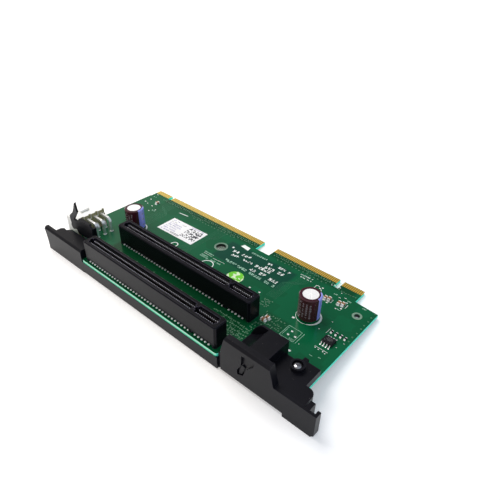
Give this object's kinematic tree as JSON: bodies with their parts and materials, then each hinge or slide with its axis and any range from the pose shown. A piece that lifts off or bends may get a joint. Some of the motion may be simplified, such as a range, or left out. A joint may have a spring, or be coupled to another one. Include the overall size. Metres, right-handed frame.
{
  "type": "pcie riser card",
  "caption": "Riser board with two keyed card slots, a notched gold edge connector, a power header and a moulded black carrier frame.",
  "frame": {"origin": "left end of the front slot's centre line, on the top face of the board", "axes": "+X along the slots, +Y from the slots to the gold edge, +Z out of the board, the way a plugged-in card leaves its slot"},
  "size_m": [0.1732, 0.0736, 0.0311],
  "materials": {
    "board": "green solder resist over glass laminate",
    "gold": "gold plated, satin",
    "slot_plastic": "black moulded plastic",
    "contact_gold": "gold plated spring metal",
    "frame_plastic": "black moulded plastic, fine texture",
    "screw_steel": "black nickel",
    "header_plastic": "natural ivory nylon",
    "tinned_wire": "tin plated",
    "solder": "bright solder",
    "bung_rubber": "matte",
    "can_aluminium": "satin",
    "sleeve_plastic": "shrunk film, brown",
    "ceramic": "fired ceramic",
    "terminal_metal": "tin plated",
    "chip_plastic": "black epoxy",
    "label_paper": "satin paper label",
    "sticker_film": "printed film",
    "ring_metal": "tinned pad"
  },
  "bodies": {
    "root": {"circuit_board": "board", "edge_contacts_top": "gold", "edge_contacts_bottom": "gold", "front_slot_housing": "slot_plastic", "rear_slot_housing": "slot_plastic", "front_slot_contacts": "contact_gold", "rear_slot_contacts": "contact_gold", "carrier_frame": "frame_plastic", "frame_screw": "screw_steel", "frame_nut": "screw_steel", "power_connector_housing": "header_plastic", "power_connector_pins": "tinned_wire", "power_solder_joints": "solder", "capacitor_solder_joints": "solder", "left_capacitor_bung": "bung_rubber", "left_capacitor_can": "can_aluminium", "left_capacitor_sleeve": "sleeve_plastic", "right_capacitor_bung": "bung_rubber", "right_capacitor_can": "can_aluminium", "right_capacitor_sleeve": "sleeve_plastic", "ceramic_capacitor_bodies": "ceramic", "ceramic_capacitor_terminals": "terminal_metal", "chip_body": "chip_plastic", "chip_leads": "terminal_metal", "barcode_label": "label_paper", "round_sticker": "sticker_film", "hole_rings": "ring_metal"}
  },
  "joints": []
}
